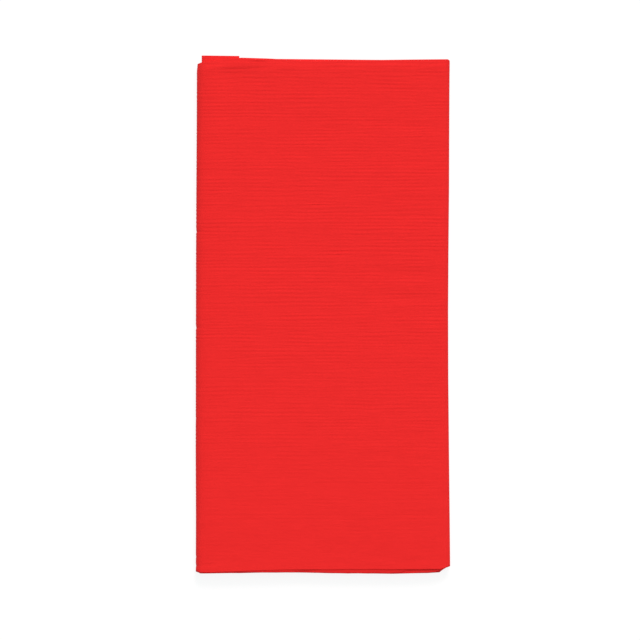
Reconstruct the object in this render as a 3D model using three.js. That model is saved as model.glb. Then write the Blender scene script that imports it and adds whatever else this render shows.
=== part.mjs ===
// A folded paper tablecloth, lying flat, in millimetres with +Z up.
//
// The cloth is one cut sheet of 1200 by 1800 mm. It is folded across its length into six plies, 300 mm
// long, and that six-ply strip is then folded across its width: both long edges go in to the middle,
// in again to the middle, and the two halves close like a book. The spine of the book is on the left, the
// looped folds are on the right, and the first long edge, a little too wide, is tucked back under the top
// layer beside the spine. Each layer modelled here is the whole six-ply strip, at its real thickness.
//
// X runs across the packet from the spine to the loops, Y along the spine. The origin is the middle of the
// packet's underside.

import * as THREE from "three";
import { mergeVertices } from "three/addons/utils/BufferGeometryUtils.js";

// Driving dimensions.
const PACKET_WIDTH = 149.4;
const STRIP_THICKNESS = 1.0;
const AIR_GAP = 0.32;
const PITCH = STRIP_THICKNESS + AIR_GAP;
const HALF_STRIP = STRIP_THICKNESS / 2;
const TUCK_END = 25.7; // the tucked edge ends this far from the spine

// Where the top layer, lifted by the tucked edge, comes down to the level of the layers beside it.
const LIFT_END = 62;
const TOP_SLACK = 0.12;

// Positions across the packet, from the spine, where every layer has a row of points, so that the facets of
// neighbouring layers lie parallel.
const COLUMNS = [8, 12.5, TUCK_END, 43, LIFT_END, 88, 115, 136, 143.1];

// The outline wanders: how far the spine and the loops stay inside the packet's width, along the packet.
const STATIONS = [
  { y: -150, spine: 0.1, loops: 0.0 },
  { y: -142, spine: 0.06, loops: 0.03 },
  { y: -118, spine: 0.16, loops: 0.3 },
  { y: -80, spine: 0.0, loops: 0.7 },
  { y: -38, spine: 0.08, loops: 1.1 },
  { y: 2, spine: 0.14, loops: 1.2 },
  { y: 38, spine: 0.22, loops: 1.0 },
  { y: 74, spine: 0.42, loops: 0.66 },
  { y: 110, spine: 0.68, loops: 0.54 },
  { y: 140, spine: 0.88, loops: 0.38 },
  { y: 150, spine: 0.94, loops: 0.24 },
];
const LAST_STATION = STATIONS.length - 1;

// Layers in order along the cloth, from the tucked edge. The level counts from the bottom, and a free end
// is given as its distance from the spine.
const LAYERS = [
  { name: "tucked edge", level: 7, freeStart: TUCK_END },
  { name: "first panel", level: 6 },
  { name: "second panel", level: 5 },
  { name: "third panel", level: 4 },
  { name: "top panel", level: 8 },
  { name: "bottom panel", level: 0 },
  { name: "sixth panel", level: 3 },
  { name: "seventh panel", level: 2 },
  { name: "last panel", level: 1, freeEnd: 9.4 },
];

// The folds between those layers. The insets are the distances of the fold's middle from the packet's side
// at the near end (low Y) and at the far end, which differ because no fold is quite square. The depth is
// how far the fold's curve reaches along X, and squareness is 2 for an ellipse and more for a fuller nose.
const FOLDS = [
  { side: "spine", nearInset: 4.4, farInset: 3.6, depth: PITCH / 2, squareness: 2, steps: 5 },
  { side: "loops", nearInset: 2.9, farInset: 2.3, depth: PITCH / 2, squareness: 2, steps: 5 },
  { side: "spine", nearInset: 2.3, farInset: 3.0, depth: PITCH / 2, squareness: 2, steps: 5 },
  { side: "loops", nearInset: 0.5, farInset: 0.5, depth: 2.6, squareness: 2.2, steps: 8 },
  { side: "spine", nearInset: 0.5, farInset: 0.5, depth: 4.6, squareness: 3, steps: 14 },
  { side: "loops", nearInset: 0.7, farInset: 1.1, depth: 2.3, squareness: 2.2, steps: 8 },
  { side: "spine", nearInset: 3.6, farInset: 2.7, depth: PITCH / 2, squareness: 2, steps: 5 },
  { side: "loops", nearInset: 2.7, farInset: 3.3, depth: PITCH / 2, squareness: 2, steps: 5 },
];

// The two long ends of the packet, where the layers don't quite line up. Each row is a place along the
// cloth: a layer, and a distance from the spine, with the Y of the strip's near and far ends there.
const ENDS = [
  { layer: 0, x: TUCK_END, near: -149.2, far: 152.2 },
  { layer: 0, x: 4, near: -149.6, far: 152.5 },
  { layer: 1, x: TUCK_END, near: -150.4, far: 150.9 },
  { layer: 1, x: 147, near: -151.0, far: 149.8 },
  { layer: 3, x: 3, near: -150.6, far: 148.9 },
  { layer: 3, x: 56, near: -151.3, far: 149.4 },
  { layer: 3, x: 92, near: -152.2, far: 149.3 },
  { layer: 3, x: 147, near: -151.2, far: 149.6 },
  { layer: 4, x: 147, near: -150.0, far: 150.2 },
  { layer: 4, x: LIFT_END, near: -150.2, far: 149.9 },
  { layer: 4, x: 43, near: -150.5, far: 150.5 },
  { layer: 4, x: TUCK_END, near: -151.5, far: 151.0 },
  { layer: 4, x: 9, near: -152.2, far: 149.6 },
  { layer: 4, x: 3, near: -151.9, far: 148.8 },
  { layer: 5, x: 3, near: -151.7, far: 148.8 },
  { layer: 5, x: 56, near: -151.4, far: 149.4 },
  { layer: 5, x: 110, near: -152.5, far: 149.0 },
  { layer: 5, x: 147, near: -151.6, far: 149.7 },
  { layer: 7, x: 3, near: -151.0, far: 148.2 },
  { layer: 8, x: 147, near: -151.3, far: 149.3 },
  { layer: 8, x: 8, near: -150.4, far: 149.0 },
];

// At its corners the packet is drawn in: over this width from the side, by this depth at the side itself.
const CORNERS = [
  { side: "spine", end: "far", width: 3.0, depth: 1.7, power: 1 },
  { side: "spine", end: "near", width: 2.8, depth: 2.0, power: 1.5 },
  { side: "loops", end: "far", width: 1.2, depth: 0.8, power: 1.5 },
  { side: "loops", end: "near", width: 6.3, depth: 3.6, power: 2.2 },
];

// The packet is pressed closer along its two folded sides: over this width, by this much at the side.
const PRESSED_SIDES = [
  { side: "spine", width: 13, drop: 0.8 },
  { side: "loops", width: 6, drop: 0.35 },
];

// Soft swells of the top, from air between the layers: the place from the packet's middle, how far each
// reaches along X and Y, and how high it lifts the top layer.
const SWELLS = [
  { x: 20, y: -50, reachX: 90, reachY: 120, rise: 0.3 },
  { x: 40, y: 75, reachX: 80, reachY: 70, rise: 0.35 },
  { x: -10, y: 150, reachX: 90, reachY: 50, rise: 0.3 },
];

const levelHeight = (level) => HALF_STRIP + level * PITCH;
const TOP_LEVEL = Math.max(...LAYERS.map((layer) => layer.level));
const PACKET_HEIGHT = levelHeight(TOP_LEVEL) + HALF_STRIP;

function smoothStep(share) {
  const t = Math.min(1, Math.max(0, share));
  return t * t * (3 - 2 * t);
}

// The height of a layer's middle at a distance from the spine.
function layerHeight(layer, x) {
  if (layer.level !== TOP_LEVEL) return levelHeight(layer.level);
  const lift = 1 - smoothStep((x - TUCK_END) / (LIFT_END - TUCK_END));
  return levelHeight(TOP_LEVEL - 1) + TOP_SLACK + (PITCH - TOP_SLACK) * lift;
}

// The curve of one fold, from the layer before it to the layer after it.
function foldPoints(fold, before, after, share) {
  const inset = THREE.MathUtils.lerp(fold.nearInset, fold.farInset, share);
  const outwards = fold.side === "spine" ? -1 : 1;
  const tip = fold.side === "spine" ? inset : PACKET_WIDTH - inset;
  const root = tip - outwards * fold.depth;
  const startZ = layerHeight(before, root);
  const endZ = layerHeight(after, root);
  const points = [];
  for (let step = 0; step <= fold.steps; step++) {
    const angle = (step / fold.steps - 0.5) * Math.PI;
    const reach = Math.pow(Math.cos(angle), 2 / fold.squareness);
    const rise = Math.sign(angle) * Math.pow(Math.abs(Math.sin(angle)), 2 / fold.squareness);
    points.push({
      x: root + outwards * fold.depth * reach,
      z: (startZ + endZ) / 2 + (rise * (endZ - startZ)) / 2,
    });
  }
  return points;
}

// The middle line of the folded strip, seen from its near end, at a share of the way along the packet.
function sectionAt(share) {
  const points = [];
  const add = (point, layer) => points.push({ ...point, layer });
  LAYERS.forEach((layer, number) => {
    const toSpine = number % 2 === 0;
    const columns = toSpine ? [...COLUMNS].reverse() : COLUMNS;
    const from = layer.freeStart ?? points[points.length - 1].x;
    const next = FOLDS[number] && foldPoints(FOLDS[number], layer, LAYERS[number + 1], share);
    const to = layer.freeEnd ?? next[0].x;
    if (layer.freeStart) add({ x: from, z: layerHeight(layer, from) }, number);
    for (const x of columns) {
      if ((x - from) * (x - to) < 0) add({ x, z: layerHeight(layer, x) }, number);
    }
    if (layer.freeEnd) add({ x: to, z: layerHeight(layer, to) }, number);
    if (next) next.forEach((point, step) => add(point, step * 2 < next.length ? number : number + 1));
  });
  return points;
}

// How far a row's place lies along the cloth, to put the rows of the ends in order.
function placeAlong(row) {
  const walked = row.layer % 2 === 0 ? PACKET_WIDTH - row.x : row.x;
  return 2 * PACKET_WIDTH * row.layer + walked;
}

// The Y of the strip's near or far end, at a place along the cloth, with the corners drawn in.
function endAt(layer, x, end) {
  const here = placeAlong({ layer, x });
  const after = ENDS.findIndex((row) => placeAlong(row) >= here);
  let y = ENDS[after < 0 ? ENDS.length - 1 : 0][end];
  if (after > 0) {
    const [a, b] = [ENDS[after - 1], ENDS[after]];
    const share = (here - placeAlong(a)) / (placeAlong(b) - placeAlong(a));
    y = THREE.MathUtils.lerp(a[end], b[end], share);
  }
  for (const corner of CORNERS) {
    const distance = corner.side === "spine" ? x : PACKET_WIDTH - x;
    if (corner.end !== end || distance >= corner.width) continue;
    const drawn = corner.depth * (1 - Math.pow(Math.max(0, distance) / corner.width, corner.power));
    y += end === "far" ? -drawn : drawn;
  }
  return y;
}

// How much taller the packet is at a place than at its pressed spine, as a factor, so that the underside
// stays flat and no layer is thinner than the strip.
function tallness(x, y) {
  let rise = Math.max(...PRESSED_SIDES.map((pressed) => pressed.drop));
  for (const { side, width, drop } of PRESSED_SIDES) {
    const distance = side === "spine" ? x + PACKET_WIDTH / 2 : PACKET_WIDTH / 2 - x;
    rise -= drop * Math.max(0, 1 - Math.max(0, distance) / width) ** 2;
  }
  for (const swell of SWELLS) {
    const [dx, dy] = [(x - swell.x) / swell.reachX, (y - swell.y) / swell.reachY];
    if (Math.abs(dx) >= 1 || Math.abs(dy) >= 1) continue;
    rise += swell.rise * Math.cos((dx * Math.PI) / 2) ** 2 * Math.cos((dy * Math.PI) / 2) ** 2;
  }
  return 1 + rise / PACKET_HEIGHT;
}

// The point of the folded strip at a place along the cloth, on one side of the strip, at a station.
function foldedPoint(section, place, side, station) {
  const point = section[place];
  const before = section[Math.max(0, place - 1)];
  const after = section[Math.min(section.length - 1, place + 1)];
  const length = Math.hypot(after.x - before.x, after.z - before.z);
  const acrossX = point.x - (side * HALF_STRIP * (after.z - before.z)) / length;
  const acrossZ = point.z + (side * HALF_STRIP * (after.x - before.x)) / length;
  const { spine, loops, y: stationY } = STATIONS[station];
  let y = stationY;
  if (station === 0) y = endAt(point.layer, point.x, "near");
  if (station === LAST_STATION) y = endAt(point.layer, point.x, "far");
  const x = spine + (acrossX / PACKET_WIDTH) * (PACKET_WIDTH - spine - loops) - PACKET_WIDTH / 2;
  return [x, y, acrossZ * tallness(x, y)];
}

// The strip starts as a flat slab with a row of points for each place along the cloth, and is folded by
// moving its points.
function tableclothGeometry() {
  const sections = STATIONS.map((_, station) => sectionAt(station / LAST_STATION));
  const places = sections[0].length - 1;
  const slab = new THREE.BoxGeometry(1, 1, 1, places, 1, LAST_STATION);
  slab.deleteAttribute("normal");
  slab.deleteAttribute("uv");
  const position = slab.attributes.position;
  for (let i = 0; i < position.count; i++) {
    const place = Math.round((position.getX(i) + 0.5) * places);
    const station = Math.round((0.5 - position.getZ(i)) * LAST_STATION);
    const side = Math.sign(position.getY(i));
    position.setXYZ(i, ...foldedPoint(sections[station], place, side, station));
  }
  const folded = mergeVertices(slab);
  folded.computeBoundingBox();
  const middle = folded.boundingBox.getCenter(new THREE.Vector3());
  folded.translate(-middle.x, -middle.y, -folded.boundingBox.min.z);
  folded.computeVertexNormals();
  return folded;
}

const redPaper = new THREE.MeshStandardMaterial({ color: 0xec2c2c, roughness: 0.85, metalness: 0 });

const tablecloth = new THREE.Mesh(tableclothGeometry(), redPaper);
tablecloth.name = "tablecloth";

const root = new THREE.Group();
root.add(tablecloth);

export default root;
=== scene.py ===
# A red crepe paper tablecloth, folded into a long flat packet and lying on a pale floor.
#
# The cloth is one true sheet. Across its length it is folded into six plies, and that six-ply strip is
# folded across its width: both long edges in to the middle, in again, and closed like a book. The spine
# is on the left (low X), the looped folds on the right. The near end is at low Y, the far end at high Y.
# Lengths are in millimetres until the mesh is made.

import math

import bpy
import numpy as np
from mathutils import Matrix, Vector


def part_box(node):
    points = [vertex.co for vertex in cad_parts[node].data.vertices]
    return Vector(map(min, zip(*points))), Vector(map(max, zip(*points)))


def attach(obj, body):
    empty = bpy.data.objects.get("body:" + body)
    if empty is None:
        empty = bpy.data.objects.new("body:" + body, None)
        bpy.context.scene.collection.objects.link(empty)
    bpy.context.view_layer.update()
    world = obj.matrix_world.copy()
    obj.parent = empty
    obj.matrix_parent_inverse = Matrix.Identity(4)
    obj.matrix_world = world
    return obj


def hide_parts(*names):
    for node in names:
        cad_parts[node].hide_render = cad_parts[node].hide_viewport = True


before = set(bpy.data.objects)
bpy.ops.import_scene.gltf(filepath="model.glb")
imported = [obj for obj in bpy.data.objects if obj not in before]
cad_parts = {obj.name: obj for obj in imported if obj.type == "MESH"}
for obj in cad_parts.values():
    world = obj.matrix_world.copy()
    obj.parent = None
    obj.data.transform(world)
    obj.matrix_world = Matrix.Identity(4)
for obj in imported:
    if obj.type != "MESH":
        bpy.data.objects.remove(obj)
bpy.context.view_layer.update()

MM = 0.001
cad_low, cad_high = (np.array(corner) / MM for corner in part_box("tablecloth"))

# The sheet.
SHEET_LENGTH = 1800.0
PLIES = 6
PLY_LENGTH = SHEET_LENGTH / PLIES
PAPER = 0.13  # thickness of the paper
PLY_PITCH = 0.19  # from one ply of the strip to the next
LEVEL_PITCH = 1.15  # from one layer of the packet to the next
HAIRPIN = LEVEL_PITCH / 2  # how deep a fold between two neighbouring layers is
HALF_STRIP = ((PLIES - 1) * PLY_PITCH + PAPER) / 2  # half the six-ply strip's thickness
TOP_PLY = PLIES - 1
BEND = PLY_PITCH / 2  # radius of the folds between its plies
BEND_ANGLES = (-45, 0, 45)

# The packet.
PACKET_WIDTH = cad_high[0] - cad_low[0]
TUCK_END = 25.7  # the tucked edge ends this far from the spine
TUCK_END_FAR = 24.9  # and this far at the far end
LAST_END = 9.4  # the cloth's other long edge, low in the packet, ends this far from the spine
LIFT_END = 62.0  # the top layer, lifted by the tucked edge, is down again here
TOP_SLACK = 0.12  # and lies this much higher than the tucked edge does
HALF_LENGTH = PLY_LENGTH / 2

# Distances from the spine where each layer under the top one has a row of points along the packet.
COLUMNS = (8, 12.5, 19, TUCK_END, 43, LIFT_END, 88, 115, 136, 143.1)
TOP_COLUMNS = 46  # how many such rows the top layer has
FINE_ROWS = 600  # steps along the ply on top, on its face
INNER_ROWS = 150  # and on its back
FINE_MARGIN = 6.0  # how far the fine rows reach past the folds at the packet's sides

# Layers in order along the cloth, from the tucked edge. The level counts from the bottom, and a free end
# is given as its distance from the spine.
LAYERS = (
    dict(name="tucked edge", level=7, free_start=dict(near=TUCK_END, far=TUCK_END_FAR)),
    dict(name="first panel", level=6),
    dict(name="second panel", level=5),
    dict(name="third panel", level=4),
    dict(name="top panel", level=8),
    dict(name="bottom panel", level=0),
    dict(name="sixth panel", level=3),
    dict(name="seventh panel", level=2),
    dict(name="last panel", level=1, free_end=dict(near=LAST_END, far=LAST_END)),
)
TOP_LAYER = [layer["name"] for layer in LAYERS].index("top panel")
TOP_LEVEL = LAYERS[TOP_LAYER]["level"]

# The folds between those layers. Near and far are the distances of the fold's tip from the packet's side
# at the two ends. The depth is how far the curve reaches along X, and squareness is 2 for an ellipse and
# more for a fuller nose.
FOLDS = (
    dict(side="spine", near=4.3, far=3.15, depth=HAIRPIN, squareness=2, steps=6),
    dict(side="loops", near=2.9, far=2.4, depth=HAIRPIN, squareness=2, steps=6),
    dict(side="spine", near=2.6, far=3.2, depth=HAIRPIN, squareness=2, steps=6),
    dict(side="loops", near=0.45, far=0.45, depth=2.6, squareness=2.2, steps=12),
    dict(side="spine", near=0.65, far=0.65, depth=4.6, squareness=3.3, steps=24),
    dict(side="loops", near=0.65, far=1.05, depth=2.3, squareness=2.2, steps=10),
    dict(side="spine", near=3.8, far=2.9, depth=HAIRPIN, squareness=2, steps=6),
    dict(side="loops", near=2.8, far=3.4, depth=HAIRPIN, squareness=2, steps=6),
)

# The outline wanders: how far the spine and the loops stay inside the packet's width, along the packet.
WANDER_Y = (-150, -118, -80, -38, 2, 38, 74, 110, 140, 150)
WANDER_SPINE = (0.06, 0.16, 0.0, 0.08, 0.14, 0.22, 0.38, 0.6, 0.7, 0.68)
WANDER_LOOPS = (0.0, 0.3, 0.7, 1.1, 1.2, 1.0, 0.66, 0.54, 0.38, 0.24)

# Every ply has a row of points at its two ends and at these.
ROW_Y = (*WANDER_Y[1:-1], 142.5, 145)

# The packet's two ends, where the layers don't quite line up. Each row is a place along the cloth, as a
# layer and a distance from the spine, with the Y of the strip's near and far ends there.
ENDS = (
    dict(layer=0, x=TUCK_END, near=-149.2, far=152.4),
    dict(layer=0, x=4, near=-149.6, far=152.7),
    dict(layer=1, x=2, near=-149.7, far=152.6),
    dict(layer=1, x=14, near=-150.2, far=151.2),
    dict(layer=1, x=TUCK_END, near=-150.4, far=150.9),
    dict(layer=1, x=147, near=-150.6, far=149.8),
    dict(layer=3, x=3, near=-150.9, far=148.9),
    dict(layer=3, x=56, near=-151.3, far=149.4),
    dict(layer=3, x=92, near=-152.0, far=149.3),
    dict(layer=3, x=141, near=-151.6, far=149.5),
    dict(layer=3, x=147, near=-150.6, far=149.6),
    dict(layer=4, x=147, near=-149.3, far=150.5),
    dict(layer=4, x=125, near=-149.4, far=150.3),
    dict(layer=4, x=LIFT_END, near=-149.5, far=149.5),
    dict(layer=4, x=43, near=-149.8, far=150.9),
    dict(layer=4, x=TUCK_END, near=-150.4, far=151.4),
    dict(layer=4, x=9, near=-151.1, far=149.6),
    dict(layer=4, x=3, near=-151.2, far=148.8),
    dict(layer=5, x=3, near=-152.0, far=148.8),
    dict(layer=5, x=12, near=-152.0, far=149.0),
    dict(layer=5, x=27, near=-151.8, far=149.3),
    dict(layer=5, x=56, near=-151.2, far=149.4),
    dict(layer=5, x=110, near=-152.3, far=149.0),
    dict(layer=5, x=141, near=-151.7, far=149.5),
    dict(layer=5, x=147, near=-150.7, far=149.7),
    dict(layer=7, x=3, near=-151.0, far=148.2),
    dict(layer=7, x=141, near=-151.3, far=149.0),
    dict(layer=7, x=147, near=-150.5, far=149.2),
    dict(layer=8, x=141, near=-151.0, far=149.3),
    dict(layer=8, x=8, near=-150.4, far=149.0),
)

# At its corners the packet is drawn in: over this width from the side, by this depth at the side itself.
CORNERS = (
    dict(side="spine", end="far", width=3.0, depth=1.3, power=1.0),
    dict(side="spine", end="near", width=2.6, depth=1.3, power=1.5),
    dict(side="loops", end="far", width=1.2, depth=0.8, power=1.5),
    dict(side="loops", end="near", width=6.3, depth=3.1, power=1.3, top=False),
    dict(side="loops", end="near", width=4.4, depth=2.2, power=1.3, top=True),
)

# How far each edge or fold at the ends is drawn back from those lines, from the first ply to the last.
NEAR_BACK = (0.7, 0.0, 0.3, 0.0)  # cut edge, fold of plies 2 and 3, fold of plies 4 and 5, cut edge
FAR_BACK = (0.5, 0.2, 0.0)  # folds of plies 1 and 2, 3 and 4, 5 and 6
END_WAVER = 0.12  # and how much it wavers
END_WAVES = (12, 60)  # between these wavelengths
END_WAVE_COUNT = 6
CUT_EDGE_WAVER = 0.3  # the cut edge on top wavers by this share of it
NEAR_SEED = 20
FAR_SEED = 30

# In the top layer the plies under the top one reach past its cut edge, by so much at these distances
# from the spine.
UNDER_X = (2, 8, 16, 26, 34, 43, 62, 85, 110, 121, 125, 140, 146)
UNDER_SHOW = (0.3, 0.6, 0.7, 0.9, 1.1, 1.6, 1.8, 2.4, 2.5, 2.4, 2.3, 1.7, 0.0)
UNDER_GAP = (0, 0, 0, 0, 0, 0, 0, 0, 0, 0, 2.4, 2.0, 0)  # less, for the fold right under the top ply

# The packet is pressed closer along its two folded sides: over this width, by this much at the side
# itself. Where two Ys are given, that grows from none at the first to all of it at the second.
PRESSED_SIDES = (
    dict(side="spine", width=14.0, drop=1.5, power=2.6),
    dict(side="spine", width=8.0, drop=0.5, power=1.6, from_y=116.0, to_y=148.0),
    dict(side="loops", width=6.0, drop=0.5, power=2.0),
)

# Soft swells of the top, from air between the layers, placed from the packet's middle.
SWELLS = (
    dict(x=20, y=-50, reach_x=90, reach_y=120, rise=0.3),
    dict(x=40, y=75, reach_x=80, reach_y=70, rise=0.35),
    dict(x=-10, y=150, reach_x=90, reach_y=50, rise=0.3),
)

# The ply on top lies this much looser than the ones under it, so it can hold troughs and dents.
TOP_LOOSENESS = 0.55
SPINE_LOOSENESS = 0.4
LOOPS_HELD = 0.6  # it is held down this far in from the loops
LOOPS_EASE = 3.5  # and loose after this length more
SPINE_HELD = 0.8  # the spine's curve reaches this far in
SPINE_EASE = 5.0  # and passes into the top over this length
NEAR_EASE = 32.0  # it comes down to its cut edge at the near end over this length
FAR_EASE = 5.0  # and to its fold at the far end over this one
FAR_CREASE_EASE = 3.0  # its creases end over this length there
FAR_RIB_EASE = 1.0  # and its ribs over this one

# How far its cut edge at the near end stands off, at these distances from the spine.
TOP_EDGE_X = (12, 25, 40, 55, 64, 75, 95, 115, 126, 140, 146)
TOP_EDGE_LIFT = (0.0, 0.05, 0.1, 0.25, 0.6, 0.2, 0.2, 0.3, 0.4, 0.4, 0.2)

# Soft troughs along lines across the packet: their two ends, half width and depth. A negative depth is a
# ridge. The first table bends the whole packet, the second the ply on top alone.
TROUGH_FADE = 6.0  # a trough fades out at its ends over this length, or over a third of its own
PACKET_TROUGHS = (
    dict(x1=-66.7, y1=141.0, x2=-31.7, y2=143.2, width=4.2, near_width=16.0, depth=0.8, fade=14.0),
    dict(x1=-10, y1=144.0, x2=70, y2=144.2, width=2.6, near_width=9.0, depth=0.15, fade=14.0),
)
TROUGHS = (
    # Creases near the far end, over and beside the tucked edge.
    dict(x1=-66, y1=144.7, x2=-43, y2=144.7, width=0.6, depth=0.17),
    dict(x1=-66, y1=142.2, x2=-41, y2=142.2, width=0.8, depth=0.1),
    dict(x1=-47, y1=144.9, x2=-25, y2=146.6, width=0.8, depth=0.18),
    dict(x1=-44, y1=150.1, x2=-32, y2=150.1, width=0.5, depth=-2.2),
    dict(x1=-34, y1=142.2, x2=-22, y2=142.5, width=0.7, depth=0.18),
    dict(x1=-28, y1=143.3, x2=-13, y2=143.5, width=0.7, depth=0.18),
    dict(x1=0, y1=145.7, x2=18, y2=145.8, width=0.7, depth=0.18),
    dict(x1=20, y1=146.3, x2=29, y2=146.4, width=0.6, depth=0.1),
    dict(x1=38, y1=143.3, x2=48, y2=143.4, width=0.6, depth=0.12),
    dict(x1=47, y1=145.3, x2=66, y2=147.9, width=0.7, depth=0.18),
    # Soft troughs further down, the deepest on the loops' side.
    dict(x1=-25, y1=106.0, x2=26, y2=107.4, width=3.6, depth=0.13),
    dict(x1=-58, y1=58.0, x2=-26, y2=59.0, width=2.4, depth=0.07),
    dict(x1=-20, y1=61.0, x2=70, y2=59.0, width=3.6, depth=0.12),
    dict(x1=22, y1=26.5, x2=71, y2=24.5, width=4.0, depth=0.14),
    dict(x1=26, y1=10.0, x2=72, y2=9.0, width=3.4, depth=0.24),
    dict(x1=-14, y1=19.0, x2=20, y2=18.4, width=1.6, depth=0.07),
    dict(x1=-70, y1=-40.0, x2=-20, y2=-42.0, width=7.0, depth=0.08),
    dict(x1=-30, y1=-95.0, x2=40, y2=-93.0, width=8.0, depth=0.08),
    dict(x1=-75, y1=-3.2, x2=-66, y2=-3.2, width=0.5, depth=0.22),
    dict(x1=-73, y1=-146.7, x2=-63, y2=-146.7, width=0.6, depth=0.16),
)

# Small pinches in the spine's edge.
SPINE_PINCHES = (
    dict(y=49.3, reach=0.9, depth=0.3),
    dict(y=-7.3, reach=0.9, depth=0.3),
    dict(y=-61.0, reach=1.4, depth=0.1),
    dict(y=-142.2, reach=0.9, depth=0.18),
    dict(y=-147.4, reach=0.9, depth=0.2),
)

# Slow waves of the ply on top: their height, how far they slant, their wavelengths, and how steady they
# are and how much they change along X, over the lengths called across.
SLOW_WAVES = (
    dict(height=0.02, slant=0.06, along=(9, 30), count=7, steady=1, change=0.4, across=(40, 120), seed=3),
    dict(height=0.015, slant=-0.03, along=(5, 11), count=6, steady=0, change=1, across=(30, 90), seed=5),
)
CHANGE_COUNT = 4  # waves that make up each change

# The crepe: fine, uneven ribs across the packet.
RIB_PERIOD = 2.2
RIB_SPREAD = 0.24  # how unequal the periods are
RIB_HEIGHT = 0.047  # root mean square
RIB_LEAN = 0.09  # how far a rib leans over, for its height
RIB_VALLEY = 0.13  # the back of the ply lies this much lower, under the ribs' valleys
LOOP_RIBS = 0.6  # how much of the ribs is left where the cloth bends round the loops
RIB_Y = (-150, -130, -100, -60, 0, 60, 150)
RIB_STRENGTH = (0.2, 0.3, 0.5, 0.85, 1.1, 1.15, 1.2)
RIB_REACH = 28.0  # how far along X a rib keeps its place
STEEPEST_SLANT = 6.0
RIB_WAVES = 90
RIB_SEED = 7

# The paper's look. Sizes of grains are across the sheet's width and along its length.
SHARP_EDGE = 50  # degrees, from which an edge isn't shaded smooth
CRINKLE_SIZE = (7.0, 0.6)
CRINKLE_DEPTH = 0.16
FIBRE_SIZE = (0.5, 0.22)
FIBRE_DEPTH = 0.08
CLOUD_SIZE = (14.0, 6.0)
FACES_APART = 7  # grains, by which the noise is moved one way on the face and the other on the back
DARK_RED = (0.788, 0.0166, 0.0162, 1)
LIGHT_RED = (0.840, 0.0193, 0.0188, 1)
RED_RANGE = (0.36, 0.64)  # the noises' mean goes from the dark to the light red between these
FIBRE_RANGE = (0.3, 0.7)  # and the roughness rises while the fibres' noise goes from one to the other
ROUGHNESS = (0.82, 0.96)
SPECULAR = 0.2

# The floor and the light. Sizes and places are in metres.
FLOOR_HALF = 4.0
FLOOR_Z = -0.0002
FLOOR_COLOUR = (0.19, 0.15, 0.15, 1)
FLOOR_GLOW = (0.834, 0.876, 0.876, 1)
AIR_LIGHT = 0.29
LAMPS = (
    dict(name="overhead", place=(0.5, 1.8, 10.4), size=(10.0, 8.8), power=410),
    dict(name="slanting", place=(2.4, 12.5, 15.2), size=(6.4, 6.4), power=2420),
)

# The camera: the picture's width in pixels, the packet's middle in it, and millimetres for each pixel.
PHOTO_WIDTH = 640
PHOTO_MIDDLE = (322.85, 314.8)
PHOTO_SCALE = 0.588
LENS_DISTANCE = 8000.0
SENSOR_WIDTH = 36.0


def smooth(share):
    """A share from 0 to 1 that starts and stops gently."""
    t = np.clip(share, 0, 1)
    return t * t * (3 - 2 * t)


def waver(along, lengths, count, seed):
    """A smooth random line of unit size, made of so many waves with lengths between the two given."""
    draw = np.random.default_rng(seed)
    rates = 2 * np.pi / draw.uniform(*lengths, count)
    starts = draw.uniform(0, 2 * np.pi, count)
    return sum(np.sin(rate * along + start) for rate, start in zip(rates, starts)) / math.sqrt(count / 2)


def level_height(level):
    """The height of a level's middle, as the packet is pressed together."""
    return HALF_STRIP + level * LEVEL_PITCH


def layer_height(layer, x):
    """The height of a layer's middle at a distance from the spine."""
    if layer["level"] != TOP_LEVEL:
        return level_height(layer["level"])
    lift = 1 - smooth((x - TUCK_END) / (LIFT_END - TUCK_END))
    return level_height(TOP_LEVEL - 1) + TOP_SLACK + (LEVEL_PITCH - TOP_SLACK) * lift


def fold_points(fold, before, after, end):
    """The curve of one fold, from the layer before it to the layer after it."""
    outwards = -1 if fold["side"] == "spine" else 1
    tip = fold[end] if fold["side"] == "spine" else PACKET_WIDTH - fold[end]
    root = tip - outwards * fold["depth"]
    start_z, end_z = layer_height(before, root), layer_height(after, root)
    angle = np.linspace(-math.pi / 2, math.pi / 2, fold["steps"] + 1)
    reach = np.abs(np.cos(angle)) ** (2 / fold["squareness"])
    rise = np.sign(angle) * np.abs(np.sin(angle)) ** (2 / fold["squareness"])
    x = root + outwards * fold["depth"] * reach
    z = (start_z + end_z) / 2 + rise * (end_z - start_z) / 2
    return list(zip(x, z))


def section(end):
    """The strip's middle line at one end of the packet: x, z and layer for each place along the cloth."""
    points = []
    for number, layer in enumerate(LAYERS):
        start = layer["free_start"][end] if "free_start" in layer else points[-1][0]
        curve = None
        if number < len(FOLDS):
            curve = fold_points(FOLDS[number], layer, LAYERS[number + 1], end)
        stop = curve[0][0] if curve else layer["free_end"][end]
        if number == TOP_LAYER:
            between = np.linspace(start, stop, TOP_COLUMNS + 2)[1:-1]
        else:
            between = [x for x in COLUMNS if x != TUCK_END or number > 0]
            between = [x for x in between if (x - start) * (x - stop) < 0]
            between.sort(reverse=bool(start > stop))
        if not points:
            points.append((start, layer_height(layer, start), number))
        points += [(x, float(layer_height(layer, x)), number) for x in between]
        if curve:
            half = len(curve) / 2
            # The layer before ended where this curve starts.
            points += [(x, z, number + (step >= half)) for step, (x, z) in enumerate(curve)]
        else:
            points.append((stop, layer_height(layer, stop), number))
    return np.array(points)


SECTIONS = {end: section(end) for end in ("near", "far")}
PLACES = len(SECTIONS["near"])
LAYER_OF = SECTIONS["near"][:, 2].astype(int)


def outward_normals(points):
    """Unit normals along a line of points, towards the strip's outer side."""
    step = np.gradient(points[:, :2], axis=0)
    normal = np.stack([step[:, 1], -step[:, 0]], 1)
    return normal / np.linalg.norm(normal, axis=1, keepdims=True)


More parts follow.
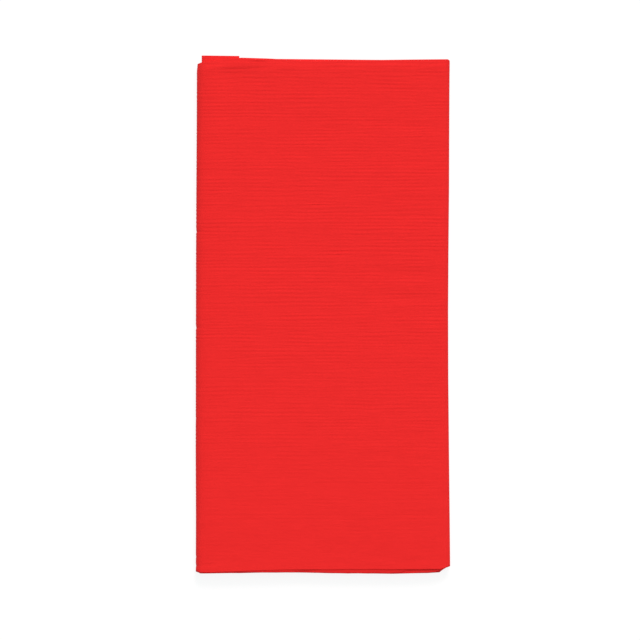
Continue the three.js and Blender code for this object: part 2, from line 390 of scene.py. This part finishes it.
NORMALS = {end: outward_normals(points) for end, points in SECTIONS.items()}
MIDDLE_LINE = (SECTIONS["near"][:, :2] + SECTIONS["far"][:, :2]) / 2
FLAT_X = np.concatenate([[0], np.cumsum(np.linalg.norm(np.diff(MIDDLE_LINE, axis=0), axis=1))])


def trough_depth(x, y, troughs):
    """How deep the troughs of a table are at each point."""
    x, y = np.broadcast_arrays(x, y)
    depth = np.zeros(x.shape)
    for trough in troughs:
        length = trough["x2"] - trough["x1"]
        along = (x - trough["x1"]) / length
        line = trough["y1"] + (trough["y2"] - trough["y1"]) * along
        reach = trough.get("fade", min(TROUGH_FADE, length / 3))
        fade = smooth(along * length / reach) * smooth((1 - along) * length / reach)
        width = np.where(y > line, trough["width"], trough.get("near_width", trough["width"]))
        depth += trough["depth"] * np.exp(-(((y - line) / width) ** 2)) * fade
    return depth


def tallness(x, y):
    """How much taller the packet is at a place than at its pressed spine, as a factor."""
    rise = np.full(np.shape(x), PRESSED_SIDES[0]["drop"])
    for pressed in PRESSED_SIDES:
        side = -1 if pressed["side"] == "spine" else 1
        distance = np.maximum(PACKET_WIDTH / 2 - side * x, 0)
        drop = pressed["drop"] * np.maximum(1 - distance / pressed["width"], 0) ** pressed["power"]
        if "from_y" in pressed:
            drop *= smooth((y - pressed["from_y"]) / (pressed["to_y"] - pressed["from_y"]))
        rise -= drop
    for swell in SWELLS:
        dx = np.clip((x - swell["x"]) / swell["reach_x"], -1, 1)
        dy = np.clip((y - swell["y"]) / swell["reach_y"], -1, 1)
        rise += swell["rise"] * np.cos(dx * math.pi / 2) ** 2 * np.cos(dy * math.pi / 2) ** 2
    rise -= trough_depth(x, y, PACKET_TROUGHS)
    return 1 + rise / (level_height(TOP_LEVEL) + HALF_STRIP)


def folded(place, y, off):
    """The folded sheet's point for a place along the cloth, a Y, and an offset from the middle line."""
    share = np.clip((y + HALF_LENGTH) / (2 * HALF_LENGTH), 0, 1)[..., None]
    line = SECTIONS["near"][place, :2] * (1 - share) + SECTIONS["far"][place, :2] * share
    normal = NORMALS["near"][place] * (1 - share) + NORMALS["far"][place] * share
    normal /= np.linalg.norm(normal, axis=-1, keepdims=True)
    across = line + off[..., None] * normal
    spine = np.interp(y, WANDER_Y, WANDER_SPINE)
    loops = np.interp(y, WANDER_Y, WANDER_LOOPS)
    x = spine + across[..., 0] / PACKET_WIDTH * (PACKET_WIDTH - spine - loops) - PACKET_WIDTH / 2
    return np.stack([x, y, across[..., 1] * tallness(x, y)], -1)


def place_along(layer, x):
    """How far a place lies along the cloth, to put the rows of the ends in order."""
    return 2 * PACKET_WIDTH * layer + np.where(layer % 2 == 0, PACKET_WIDTH - x, x)


def end_line(end):
    """The Y of the strip's near or far end for each place along the cloth, with the corners drawn in."""
    x = SECTIONS[end][:, 0]
    rows = [place_along(np.int64(row["layer"]), row["x"]) for row in ENDS]
    y = np.interp(place_along(LAYER_OF, x), rows, [row[end] for row in ENDS])
    for corner in CORNERS:
        if corner["end"] != end:
            continue
        distance = np.maximum(x if corner["side"] == "spine" else PACKET_WIDTH - x, 0)
        drawn = corner["depth"] * (1 - np.minimum(distance / corner["width"], 1) ** corner["power"])
        if "top" in corner:
            drawn = np.where((LAYER_OF == TOP_LAYER) == corner["top"], drawn, 0)
        y = y - drawn if end == "far" else y + drawn
    return y


def edge_lines():
    """The Y of every cut edge and cross fold of the strip, for each place along the cloth."""
    near, far = end_line("near"), end_line("far")
    x = SECTIONS["near"][:, 0]
    on_top = LAYER_OF == TOP_LAYER
    shown = np.interp(x, UNDER_X, UNDER_SHOW) * on_top
    gap = np.interp(x, UNDER_X, UNDER_GAP) * on_top
    lines = {}
    for number, back in enumerate(NEAR_BACK):
        loose = END_WAVER * waver(FLAT_X, END_WAVES, END_WAVE_COUNT, seed=NEAR_SEED + number)
        inner = number < len(NEAR_BACK) - 1
        lines["near", number] = near + back + (np.abs(loose) - shown if inner else CUT_EDGE_WAVER * loose)
        if number == len(NEAR_BACK) - 2:
            lines["near", number] += gap
    for number, back in enumerate(FAR_BACK):
        loose = END_WAVER * waver(FLAT_X, END_WAVES, END_WAVE_COUNT, seed=FAR_SEED + number)
        lines["far", number] = far - back - np.abs(loose) * (number < len(FAR_BACK) - 1)
    return lines


EDGES = edge_lines()


def ply_offset(ply):
    """How far a ply lies out from the strip's middle line."""
    return (ply - (PLIES - 1) / 2) * PLY_PITCH


# The strip's own fold lines: which of the edge lines each ply reaches at its near and its far end.
NEAR_LINE = (0, 1, 1, 2, 2, 3)
FAR_LINE = (0, 0, 1, 1, 2, 2)


def ply_ends(ply):
    """The Y where the straight part of a ply starts and stops, for each place along the cloth."""
    near = EDGES["near", NEAR_LINE[ply]] + (BEND if 0 < ply < TOP_PLY else 0)
    far = EDGES["far", FAR_LINE[ply]] - BEND
    return (near, far) if ply % 2 == 0 else (far, near)


def strip_rows():
    """Each row across the strip as (Y, offset, normal's Y, normal's offset, place along the length)."""
    rows = []
    for ply in range(PLIES):
        start, stop = ply_ends(ply)
        facing = -1 if ply % 2 == 0 else 1
        between = ROW_Y if ply % 2 == 0 else reversed(ROW_Y)
        for y in (start, *between, stop):
            share = (y - start) / (stop - start)
            rows.append((y, ply_offset(ply), 0.0, facing, (ply + share) * PLY_LENGTH))
        if ply == TOP_PLY:
            break
        outwards = 1 if ply % 2 == 0 else -1
        for degrees in BEND_ANGLES:
            angle = math.radians(degrees)
            y = stop + outwards * BEND * math.cos(angle)
            off = ply_offset(ply) + BEND + BEND * math.sin(angle)
            normal = (math.cos(angle), outwards * math.sin(angle))
            rows.append((y, off, *normal, (ply + 1) * PLY_LENGTH))
    return rows


def top_share():
    """How far each place along the cloth lies on the loose top and on the spine's curve, and its ribs."""
    x = SECTIONS["near"][:, 0]
    past_loops = smooth((PACKET_WIDTH - LOOPS_HELD - x) / LOOPS_EASE)
    past_spine = smooth((x - SPINE_HELD) / SPINE_EASE)
    on_top = np.where(LAYER_OF == TOP_LAYER, past_loops * past_spine, 0)
    by_spine = (LAYER_OF == TOP_LAYER) | (LAYER_OF == TOP_LAYER + 1)
    on_spine = np.where(by_spine & (x < PACKET_WIDTH / 2), 1 - past_spine, 0)
    ribbed = np.where(LAYER_OF == TOP_LAYER, np.maximum(on_top, LOOP_RIBS), on_spine)
    return on_top, on_spine, np.maximum(ribbed, on_spine)


ON_TOP, ON_SPINE, RIBBED = top_share()


def crepe(flat_x, y):
    """The height of the ribs, from many long waves that each keep their place for a while along X."""
    draw = np.random.default_rng(RIB_SEED)
    periods = RIB_PERIOD * draw.lognormal(0, RIB_SPREAD, RIB_WAVES)
    slants = np.clip(draw.standard_cauchy(RIB_WAVES), -STEEPEST_SLANT, STEEPEST_SLANT) / RIB_REACH
    starts = draw.uniform(0, 2 * np.pi, RIB_WAVES)
    height = 0
    for lean in (0, RIB_LEAN):
        # The ribs lean over, so one of their sides is the steeper one.
        along = y - lean * height
        waves = zip(periods, slants, starts)
        height = sum(np.sin(2 * np.pi * along / p + slant * flat_x + start) for p, slant, start in waves)
        height /= math.sqrt(RIB_WAVES / 2)
    return RIB_HEIGHT * height


def relief(x, y):
    """Troughs, creases and slow waves of the top ply, placed from the packet's middle."""
    height = -trough_depth(x, y, TROUGHS)
    for wave in SLOW_WAVES:
        crests = waver(y + wave["slant"] * x, wave["along"], wave["count"], wave["seed"])
        change = waver(x, wave["across"], CHANGE_COUNT, wave["seed"] + 1)
        height += wave["height"] * crests * (wave["steady"] + wave["change"] * change)
    return height


def past_near_edge(place, y):
    """From 0 at the top ply's cut edge at the near end to 1 where it has come all the way up."""
    return smooth((y - EDGES["near", NEAR_LINE[TOP_PLY]][place]) / NEAR_EASE)


def short_of_far_fold(place, y, ease):
    """From 0 at the top ply's fold at the far end to 1 at this distance from it."""
    return smooth((EDGES["far", FAR_LINE[TOP_PLY]][place] - y) / ease)


def looseness(place, y):
    """How far the top ply stands off the one under it."""
    edge = np.interp(SECTIONS["near"][place, 0], TOP_EDGE_X, TOP_EDGE_LIFT)
    top = edge + (TOP_LOOSENESS - edge) * past_near_edge(place, y)
    off = ON_TOP[place] * top + SPINE_LOOSENESS * ON_SPINE[place]
    return off * short_of_far_fold(place, y, FAR_EASE)


def top_ply_offset(place, y, side):
    """How far the top ply's points lie out from where a plain ply would be, on its face or its back."""
    x = SECTIONS["near"][place, 0] - PACKET_WIDTH / 2
    off = relief(x, y) * ON_TOP[place] * short_of_far_fold(place, y, FAR_CREASE_EASE)
    off += looseness(place, y)
    for pinch in SPINE_PINCHES:
        # The back has fewer rows, so a pinch reaches further along it.
        reach = pinch["reach"] + (PLY_LENGTH / INNER_ROWS if side < 0 else 0)
        off -= pinch["depth"] * np.exp(-(((y - pinch["y"]) / reach) ** 2)) * ON_SPINE[place]
    ends = short_of_far_fold(place, y, FAR_RIB_EASE)
    if side < 0:
        # The back is plain, and lies under the lowest valleys of the ribs.
        loose = np.maximum(ON_TOP, ON_SPINE)[place]
        return off - RIB_VALLEY * loose * past_near_edge(place, y) * ends
    ribs = crepe(FLAT_X[place], -y) * ends * np.interp(y, RIB_Y, RIB_STRENGTH)
    return off + ribs * RIBBED[place]


def fine_places():
    """The first and last place along the cloth where the top ply has fine rows."""
    x = SECTIONS["near"][:, 0]
    before = np.flatnonzero((LAYER_OF == TOP_LAYER - 1) & (x < PACKET_WIDTH - FINE_MARGIN))
    after = np.flatnonzero((LAYER_OF == TOP_LAYER + 1) & (x > FINE_MARGIN))
    return before[-1] + 1, after[0]


def quads(grid, turned):
    """The grid's faces. They are split along their first corner's diagonal, or where turned the other."""
    straight = np.stack([grid[:-1, :-1], grid[:-1, 1:], grid[1:, 1:], grid[1:, :-1]], -1)
    other = np.roll(straight, -1, axis=-1)
    return np.where(turned[..., None], other, straight).reshape(-1, 4)


def add_points(store, place, y, off, flat_y, side):
    """Adds a grid of the sheet's points to the store, and gives back their numbers."""
    place, y, off, flat_y = np.broadcast_arrays(place, y, off, flat_y)
    first = sum(len(part) for part in store["points"])
    flat = np.stack([FLAT_X[place], flat_y, np.full(y.shape, float(side))], -1)
    store["points"].append(folded(place, y, off).reshape(-1, 3))
    store["flats"].append(flat.reshape(-1, 3))
    return first + np.arange(y.size).reshape(y.shape)


def coarse_grid(store, side):
    """Adds the points of one side of the sheet, ply after ply, and gives back their numbers."""
    places = np.arange(PLACES)
    grid = []
    for y, off, normal_y, normal_off, flat_y in strip_rows():
        y_side = y + side * normal_y * PAPER / 2 + np.zeros(PLACES)
        off_side = off + side * normal_off * PAPER / 2 + np.zeros(PLACES)
        if off == ply_offset(TOP_PLY):
            off_side += top_ply_offset(places, y_side, side)
        grid.append(add_points(store, places, y_side, off_side, flat_y, side))
    return np.array(grid)


def fine_patch(store, side, steps):
    """Adds the points of the ply on top where it shows, in closer rows, and gives back their numbers."""
    first, last = fine_places()
    start, stop = ply_ends(TOP_PLY)
    share = np.linspace(0, 1, steps + 1)[:, None]
    fine = np.arange(first, last + 1)[None]
    y = start[fine] + (stop - start)[fine] * share
    flat_y = (TOP_PLY + share) * PLY_LENGTH
    off = ply_offset(TOP_PLY) + side * PAPER / 2 + top_ply_offset(fine, y, side)
    return add_points(store, fine, y, off, flat_y, side)


def turned_faces(grid):
    """Which of the grid's faces are split along their other diagonal."""
    # Plies and layers run to and fro. Their faces are all split the same way round, so they lie alike.
    # The faces round a bend are split as those of the ply after it.
    ply_rows = len(ROW_Y) + 2
    bend_rows = len(BEND_ANGLES)
    ply_of = (np.arange(len(grid) - 1) + bend_rows + 1) // (ply_rows + bend_rows)
    return (ply_of[:, None] + LAYER_OF[None, :-1]) % 2 == 1


def add_side(store, side, steps):
    """Adds one side of the sheet, with so many steps along the ply on top, and gives back its grid."""
    grid = coarse_grid(store, side)
    patch = fine_patch(store, side, steps)
    first, last = fine_places()
    # Some of the patch's rows take the place of the grid's own.
    inner_at = [round((HALF_LENGTH - y) / (2 * HALF_LENGTH) * steps) for y in reversed(ROW_Y)]
    at = [0, *inner_at, steps]
    top = len(grid) - len(at)
    grid[top:, first : last + 1] = patch[at]
    turned = turned_faces(grid)
    faces = [
        quads(grid[: top + 1], turned[:top]),
        quads(grid[top:, :first], turned[top:, : first - 1]),
        quads(grid[top:, last + 1 :], turned[top:, last + 1 :]),
        quads(patch, np.repeat(turned[top : top + 1, first:last], steps, axis=0)),
    ]
    faces = np.concatenate(faces).tolist()
    # Faces with many corners join the patch's rims to the grid.
    for step in range(len(at) - 1):
        rim = patch[at[step] : at[step + 1] + 1]
        before = grid[top + step : top + step + 2, first - 1]
        after = grid[top + step : top + step + 2, last + 1]
        faces.append([before[0], *rim[:, 0], before[1]])
        faces.append([*rim[::-1, -1], after[0], after[1]])
    store["faces"] += [face if side > 0 else [face[0], *face[:0:-1]] for face in faces]
    return grid


def sheet_mesh():
    """The whole sheet as one closed mesh: points, their places on the flat sheet, and faces."""
    store = dict(points=[], flats=[], faces=[])
    outer = add_side(store, 1, FINE_ROWS)
    inner = add_side(store, -1, INNER_ROWS)
    edges = (
        (outer[0], inner[0]),
        (inner[-1], outer[-1]),
        (inner[:, 0], outer[:, 0]),
        (outer[:, -1], inner[:, -1]),
    )
    for a, b in edges:
        store["faces"] += np.stack([a[:-1], b[:-1], b[1:], a[1:]], -1).tolist()
    points, flats = np.concatenate(store["points"]), np.concatenate(store["flats"])
    used = np.unique(np.concatenate(store["faces"]))
    number = np.zeros(len(points), int)
    number[used] = np.arange(len(used))
    faces = [number[face].tolist() for face in store["faces"]]
    return points[used], flats[used], faces


def make_cloth():
    """The sheet as an object, in the middle of the solid's box and with its lowest point at zero."""
    points, flats, faces = sheet_mesh()
    low, high = points.min(0), points.max(0)
    middle = (cad_low + cad_high) / 2
    points[:, :2] += middle[:2] - ((low + high) / 2)[:2]
    points[:, 2] -= low[2]
    mesh = bpy.data.meshes.new("tablecloth_sheet")
    mesh.from_pydata((points * MM).tolist(), [], faces)
    place = mesh.attributes.new("sheet_place", "FLOAT_VECTOR", "POINT")
    place.data.foreach_set("vector", (flats * (MM, MM, 1)).astype(np.float32).ravel())
    mesh.polygons.foreach_set("use_smooth", [True] * len(mesh.polygons))
    mesh.set_sharp_from_angle(angle=math.radians(SHARP_EDGE))
    mesh.update()
    cloth = bpy.data.objects.new("tablecloth_sheet", mesh)
    bpy.context.scene.collection.objects.link(cloth)
    return cloth


cloth = make_cloth()


def paper_noise(nodes, links, place, name, size, detail, roughness=0.5):
    """Noise over the flat sheet, with grains of a size in millimetres across its width and along it."""
    across, along = size
    mapping = nodes.new("ShaderNodeMapping")
    mapping.inputs["Scale"].default_value = (1 / (across * MM), 1 / (along * MM), FACES_APART)
    noise = nodes.new("ShaderNodeTexNoise")
    noise.label = name
    noise.inputs["Scale"].default_value = 1.0
    noise.inputs["Detail"].default_value = detail
    noise.inputs["Roughness"].default_value = roughness
    links.new(place, mapping.inputs["Vector"])
    links.new(mapping.outputs["Vector"], noise.inputs["Vector"])
    return noise.outputs["Fac"]


def add_values(nodes, links, first, second):
    add = nodes.new("ShaderNodeMath")
    add.operation = "ADD"
    links.new(first, add.inputs[0])
    links.new(second, add.inputs[1])
    return add.outputs["Value"]


def spread(nodes, links, value, source, target):
    """A value carried over from one range to another."""
    spread_out = nodes.new("ShaderNodeMapRange")
    spread_out.inputs["From Min"].default_value, spread_out.inputs["From Max"].default_value = source
    spread_out.inputs["To Min"].default_value, spread_out.inputs["To Max"].default_value = target
    links.new(value, spread_out.inputs["Value"])
    return spread_out.outputs["Result"]


def add_bump(nodes, links, height, depth, normal=None):
    bump = nodes.new("ShaderNodeBump")
    bump.inputs["Strength"].default_value = 1.0
    bump.inputs["Distance"].default_value = depth * MM
    links.new(height, bump.inputs["Height"])
    if normal:
        links.new(normal, bump.inputs["Normal"])
    return bump.outputs["Normal"]


def paper_material():
    """Red crepe paper: fibres and fine crinkles across the sheet, slightly mottled, and matt."""
    material = bpy.data.materials.new("crepe_paper")
    material.use_nodes = True
    nodes, links = material.node_tree.nodes, material.node_tree.links
    shader = nodes["Principled BSDF"]
    attribute = nodes.new("ShaderNodeAttribute")
    attribute.attribute_name = "sheet_place"
    place = attribute.outputs["Vector"]

    crinkles = paper_noise(nodes, links, place, "crinkles", CRINKLE_SIZE, detail=4.0, roughness=0.6)
    fibres = paper_noise(nodes, links, place, "fibres", FIBRE_SIZE, detail=3.0, roughness=0.6)
    clouds = paper_noise(nodes, links, place, "clouds", CLOUD_SIZE, detail=2.0)

    # Colour, by the mean of the three noises.
    two = add_values(nodes, links, crinkles, clouds)
    three = add_values(nodes, links, two, fibres)
    mean = spread(nodes, links, three, source=(0, 3), target=(0, 1))
    colour = nodes.new("ShaderNodeValToRGB")
    dark, light = colour.color_ramp.elements
    dark.position, light.position = RED_RANGE
    dark.color, light.color = DARK_RED, LIGHT_RED
    links.new(mean, colour.inputs["Fac"])
    links.new(colour.outputs["Color"], shader.inputs["Base Color"])

    roughness = spread(nodes, links, fibres, source=FIBRE_RANGE, target=ROUGHNESS)
    links.new(roughness, shader.inputs["Roughness"])
    shader.inputs["Specular IOR Level"].default_value = SPECULAR

    crinkled = add_bump(nodes, links, crinkles, CRINKLE_DEPTH)
    fuzzy = add_bump(nodes, links, fibres, FIBRE_DEPTH, normal=crinkled)
    links.new(fuzzy, shader.inputs["Normal"])
    return material


cloth.data.materials.append(paper_material())
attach(cloth, "root")
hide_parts("tablecloth")


def make_floor():
    """A pale floor, mostly lit from within, so the packet's shadow on it is faint."""
    mesh = bpy.data.meshes.new("floor")
    corners = [(x * FLOOR_HALF, y * FLOOR_HALF, FLOOR_Z) for x, y in ((-1, -1), (1, -1), (1, 1), (-1, 1))]
    mesh.from_pydata(corners, [], [range(len(corners))])
    floor = bpy.data.objects.new("floor", mesh)
    bpy.context.scene.collection.objects.link(floor)
    material = bpy.data.materials.new("floor_white")
    material.use_nodes = True
    shader = material.node_tree.nodes["Principled BSDF"]
    shader.inputs["Base Color"].default_value = FLOOR_COLOUR
    shader.inputs["Emission Color"].default_value = FLOOR_GLOW
    shader.inputs["Emission Strength"].default_value = 1.0
    shader.inputs["Roughness"].default_value = 1.0
    shader.inputs["Specular IOR Level"].default_value = 0.0
    mesh.materials.append(material)


make_floor()


def add_lamp(name, place, size, power):
    """A soft rectangular lamp that faces the packet."""
    lamp = bpy.data.lights.new(name, "AREA")
    lamp.shape = "RECTANGLE"
    lamp.size, lamp.size_y = size
    lamp.energy = power
    holder = bpy.data.objects.new(name, lamp)
    bpy.context.scene.collection.objects.link(holder)
    holder.location = place
    holder.rotation_euler = (-Vector(place)).to_track_quat("-Z", "Y").to_euler()


def make_light():
    world = bpy.data.worlds.new("studio")
    bpy.context.scene.world = world
    world.use_nodes = True
    background = world.node_tree.nodes["Background"]
    background.inputs["Color"].default_value = (1, 1, 1, 1)
    background.inputs["Strength"].default_value = AIR_LIGHT
    for lamp in LAMPS:
        add_lamp(**lamp)


make_light()


def make_camera():
    """The camera, straight above, so far off that the packet is seen almost without perspective."""
    camera = bpy.data.objects.new("camera", bpy.data.cameras.new("camera"))
    bpy.context.scene.collection.objects.link(camera)
    camera.data.sensor_width = SENSOR_WIDTH
    camera.data.lens = SENSOR_WIDTH * LENS_DISTANCE / (PHOTO_WIDTH * PHOTO_SCALE)
    camera.location = (
        (PHOTO_WIDTH / 2 - PHOTO_MIDDLE[0]) * PHOTO_SCALE * MM,
        (PHOTO_MIDDLE[1] - PHOTO_WIDTH / 2) * PHOTO_SCALE * MM,
        (LENS_DISTANCE + cad_high[2]) * MM,
    )
    bpy.context.scene.camera = camera
    bpy.context.scene.view_settings.view_transform = "Standard"


make_camera()
